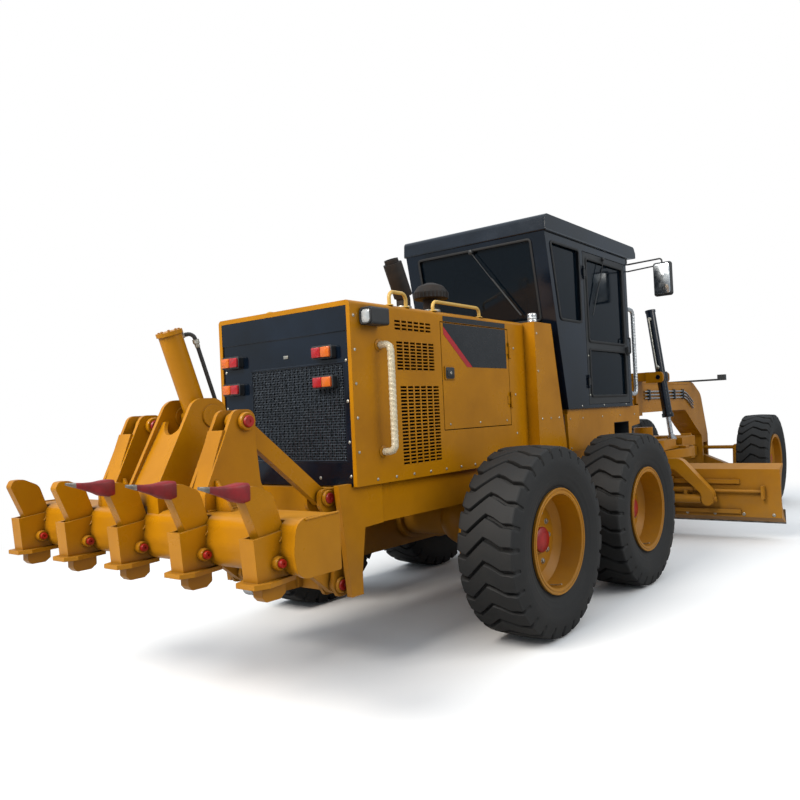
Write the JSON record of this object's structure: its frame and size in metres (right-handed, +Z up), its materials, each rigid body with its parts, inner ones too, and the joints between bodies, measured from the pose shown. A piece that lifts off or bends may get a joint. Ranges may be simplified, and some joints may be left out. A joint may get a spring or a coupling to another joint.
{
  "type": "motor grader",
  "caption": "Articulated motor grader with tandem rear wheels, leaning front wheels, a turning circle with side-shifting blade, an enclosed cab and a parallelogram rear ripper.",
  "frame": {"origin": "on the ground, under the middle of the whole machine's length and width", "axes": "+Y towards the machine's rear (it drives forward along -Y), +X towards its left-hand side, +Z up"},
  "size_m": [3.658, 9.8228, 3.0898],
  "materials": {
    "yellow_paint": "satin",
    "black_paint": "satin",
    "cab_trim": "satin",
    "tyre_rubber": "matt",
    "hose_rubber": "matt",
    "glass": "polished",
    "lamp_lens": "gloss",
    "worn_steel": "worn",
    "rod_chrome": "polished",
    "red_paint": "satin",
    "wrapped_tube": "matt",
    "seat_cloth": "matt",
    "engine_iron": "matt"
  },
  "bodies": {
    "rear_frame": {"rear_frame": "yellow_paint", "rear_axle": "yellow_paint", "tandem_cases": "yellow_paint", "hood": "yellow_paint", "rear_guard": "black_paint", "rear_lamps": "lamp_lens", "engine": "engine_iron", "hood_handrails": "wrapped_tube", "stacks": "black_paint", "tank": "yellow_paint"},
    "front_frame": {"front_frame": "yellow_paint", "front_axle": "yellow_paint", "cab_shell": "black_paint", "cab_roof": "black_paint", "cab_glass": "glass", "cab_base": "yellow_paint", "cab_interior": "seat_cloth", "cab_fittings": "black_paint", "front_lamps": "black_paint"},
    "lean_bar": {"lean_bar": "yellow_paint"},
    "drawbar": {"drawbar": "yellow_paint"},
    "circle": {"circle": "yellow_paint"},
    "blade_bracket": {"blade_bracket": "yellow_paint"},
    "moldboard": {"moldboard": "yellow_paint", "cutting_edge": "worn_steel"},
    "ripper_carrier": {"ripper_carrier": "yellow_paint", "ripper_shanks": "yellow_paint", "ripper_teeth": "red_paint"},
    "ripper_upper_links": {"ripper_upper_links": "yellow_paint"},
    "ripper_lower_links": {"ripper_lower_links": "yellow_paint"},
    "ripper_barrel": {"ripper_barrel": "yellow_paint", "ripper_hose": "hose_rubber"},
    "ripper_rod": {"ripper_rod": "rod_chrome"},
    "wheel_rear_right": {"tyre_rear_right": "tyre_rubber", "rim_rear_right": "yellow_paint"},
    "wheel_mid_right": {"tyre_mid_right": "tyre_rubber", "rim_mid_right": "yellow_paint"},
    "wheel_front_right": {"tyre_front_right": "tyre_rubber", "rim_front_right": "yellow_paint"},
    "engine_door_right": {"engine_door_right": "yellow_paint"},
    "cab_door_right": {"cab_door_right": "cab_trim", "door_glass_right": "glass"},
    "lean_yoke_right": {"lean_yoke_right": "yellow_paint"},
    "knuckle_right": {"knuckle_right": "yellow_paint"},
    "lift_barrel_right": {"lift_barrel_right": "black_paint"},
    "lift_rod_right": {"lift_rod_right": "rod_chrome"},
    "wheel_rear_left": {"tyre_rear_left": "tyre_rubber", "rim_rear_left": "yellow_paint"},
    "wheel_mid_left": {"tyre_mid_left": "tyre_rubber", "rim_mid_left": "yellow_paint"},
    "wheel_front_left": {"tyre_front_left": "tyre_rubber", "rim_front_left": "yellow_paint"},
    "engine_door_left": {"engine_door_left": "yellow_paint"},
    "cab_door_left": {"cab_door_left": "cab_trim", "door_glass_left": "glass"},
    "lean_yoke_left": {"lean_yoke_left": "yellow_paint"},
    "knuckle_left": {"knuckle_left": "yellow_paint"},
    "lift_barrel_left": {"lift_barrel_left": "black_paint"},
    "lift_rod_left": {"lift_rod_left": "rod_chrome"}
  },
  "joints": [
    {"name": "articulation", "type": "hinge", "parent": "rear_frame", "child": "front_frame", "pos_m": [0, 0.68858, 0.875], "axis": [0, 0, 1], "range_deg": [-20, 20]},
    {"name": "rear_wheel_spin_right", "type": "hinge", "parent": "rear_frame", "child": "wheel_rear_right", "pos_m": [-1.088, 2.40858, 0.63], "axis": [1, 0, 0], "continuous": true},
    {"name": "mid_wheel_spin_right", "type": "hinge", "parent": "rear_frame", "child": "wheel_mid_right", "pos_m": [-1.088, 0.86858, 0.63], "axis": [1, 0, 0], "continuous": true},
    {"name": "engine_door_swing_right", "type": "hinge", "parent": "rear_frame", "child": "engine_door_right", "pos_m": [-0.619, 1.86358, 1.58], "axis": [0, 0, 1], "range_deg": [0, 90]},
    {"name": "cab_door_swing_right", "type": "hinge", "parent": "front_frame", "child": "cab_door_right", "pos_m": [-0.741, 0.74658, 1.72], "axis": [0, 0, -1], "range_deg": [0, 85]},
    {"name": "rear_wheel_spin_left", "type": "hinge", "parent": "rear_frame", "child": "wheel_rear_left", "pos_m": [1.088, 2.40858, 0.63], "axis": [1, 0, 0], "continuous": true},
    {"name": "mid_wheel_spin_left", "type": "hinge", "parent": "rear_frame", "child": "wheel_mid_left", "pos_m": [1.088, 0.86858, 0.63], "axis": [1, 0, 0], "continuous": true},
    {"name": "engine_door_swing_left", "type": "hinge", "parent": "rear_frame", "child": "engine_door_left", "pos_m": [0.619, 1.86358, 1.58], "axis": [0, 0, -1], "range_deg": [0, 90]},
    {"name": "cab_door_swing_left", "type": "hinge", "parent": "front_frame", "child": "cab_door_left", "pos_m": [0.741, 0.74658, 1.72], "axis": [0, 0, 1], "range_deg": [0, 85]},
    {"name": "lean_right", "type": "hinge", "parent": "front_frame", "child": "lean_yoke_right", "pos_m": [-0.62, -4.28142, 0.48], "axis": [0, 1, 0], "range_deg": [-18, 18]},
    {"name": "lean_left", "type": "hinge", "parent": "front_frame", "child": "lean_yoke_left", "pos_m": [0.62, -4.28142, 0.48], "axis": [0, 1, 0], "range_deg": [-18, 18]},
    {"name": "lean_bar_pivot", "type": "hinge", "parent": "lean_yoke_right", "child": "lean_bar", "pos_m": [-0.62, -4.28142, 0.8], "axis": [0, 1, 0], "range_deg": [-18, 18]},
    {"name": "steer_right", "type": "hinge", "parent": "lean_yoke_right", "child": "knuckle_right", "pos_m": [-0.765, -4.28142, 0.63], "axis": [0, 0, 1], "range_deg": [-47.5, 47.5]},
    {"name": "front_wheel_spin_right", "type": "hinge", "parent": "knuckle_right", "child": "wheel_front_right", "pos_m": [-0.954, -4.28142, 0.63], "axis": [1, 0, 0], "continuous": true},
    {"name": "steer_left", "type": "hinge", "parent": "lean_yoke_left", "child": "knuckle_left", "pos_m": [0.765, -4.28142, 0.63], "axis": [0, 0, 1], "range_deg": [-47.5, 47.5]},
    {"name": "front_wheel_spin_left", "type": "hinge", "parent": "knuckle_left", "child": "wheel_front_left", "pos_m": [0.954, -4.28142, 0.63], "axis": [1, 0, 0], "continuous": true},
    {"name": "drawbar_lift", "type": "hinge", "parent": "front_frame", "child": "drawbar", "pos_m": [0, -3.92142, 0.76], "axis": [1, 0, 0], "range_deg": [-17, 5.5]},
    {"name": "circle_turn", "type": "hinge", "parent": "drawbar", "child": "circle", "pos_m": [0, -1.80142, 0.86], "axis": [0, 0, 1], "continuous": true},
    {"name": "blade_tip", "type": "hinge", "parent": "circle", "child": "blade_bracket", "pos_m": [0, -1.23142, 0.44], "axis": [1, 0, 0], "range_deg": [-5, 40]},
    {"name": "blade_shift", "type": "slide", "parent": "blade_bracket", "child": "moldboard", "axis": [-1, 0, 0], "range_m": [-0.44, 0.44]},
    {"name": "lift_tilt_right", "type": "hinge", "parent": "front_frame", "child": "lift_barrel_right", "pos_m": [-0.4658, -1.76142, 1.8], "axis": [0, -1, 0], "range_deg": [-5, 5]},
    {"name": "lift_slide_right", "type": "slide", "parent": "lift_barrel_right", "child": "lift_rod_right", "axis": [-0.1191, 0, -0.9929], "range_m": [-0.22, 0.66]},
    {"name": "lift_tilt_left", "type": "hinge", "parent": "front_frame", "child": "lift_barrel_left", "pos_m": [0.4658, -1.76142, 1.8], "axis": [0, 1, 0], "range_deg": [-5, 5]},
    {"name": "lift_slide_left", "type": "slide", "parent": "lift_barrel_left", "child": "lift_rod_left", "axis": [0.1191, 0, -0.9929], "range_m": [-0.22, 0.66]},
    {"name": "ripper_lower", "type": "hinge", "parent": "rear_frame", "child": "ripper_lower_links", "pos_m": [0, 3.61858, 0.537], "axis": [1, 0, 0], "range_deg": [-55, 0]},
    {"name": "ripper_upper", "type": "hinge", "parent": "rear_frame", "child": "ripper_upper_links", "pos_m": [0, 3.69258, 1.05], "axis": [1, 0, 0], "range_deg": [-55, 0]},
    {"name": "ripper_carrier_pivot", "type": "hinge", "parent": "ripper_lower_links", "child": "ripper_carrier", "pos_m": [0, 4.16958, 0.999], "axis": [1, 0, 0], "range_deg": [0, 55]},
    {"name": "ripper_ram_tilt", "type": "hinge", "parent": "ripper_carrier", "child": "ripper_barrel", "pos_m": [0, 4.18358, 1.551], "axis": [1, 0, 0], "range_deg": [-60, 5]},
    {"name": "ripper_ram_slide", "type": "slide", "parent": "ripper_barrel", "child": "ripper_rod", "axis": [0, 0.3128, 0.9498], "range_m": [-0.05, 0.52]}
  ],
  "couplings": [
    {"joint": "lean_left", "follows": "lean_right", "ratio": 1},
    {"joint": "lean_bar_pivot", "follows": "lean_right", "ratio": -1},
    {"joint": "steer_left", "follows": "steer_right", "ratio": 1},
    {"joint": "lift_tilt_right", "follows": "drawbar_lift", "ratio": -0.21},
    {"joint": "lift_slide_right", "follows": "drawbar_lift", "m_per_rad": -2.15},
    {"joint": "lift_tilt_left", "follows": "drawbar_lift", "ratio": -0.21},
    {"joint": "lift_slide_left", "follows": "drawbar_lift", "m_per_rad": -2.15},
    {"joint": "ripper_upper", "follows": "ripper_lower", "ratio": 1},
    {"joint": "ripper_carrier_pivot", "follows": "ripper_lower", "ratio": -1},
    {"joint": "ripper_ram_tilt", "follows": "ripper_lower", "ratio": 0.608},
    {"joint": "ripper_ram_slide", "follows": "ripper_lower", "m_per_rad": -0.47}
  ]
}
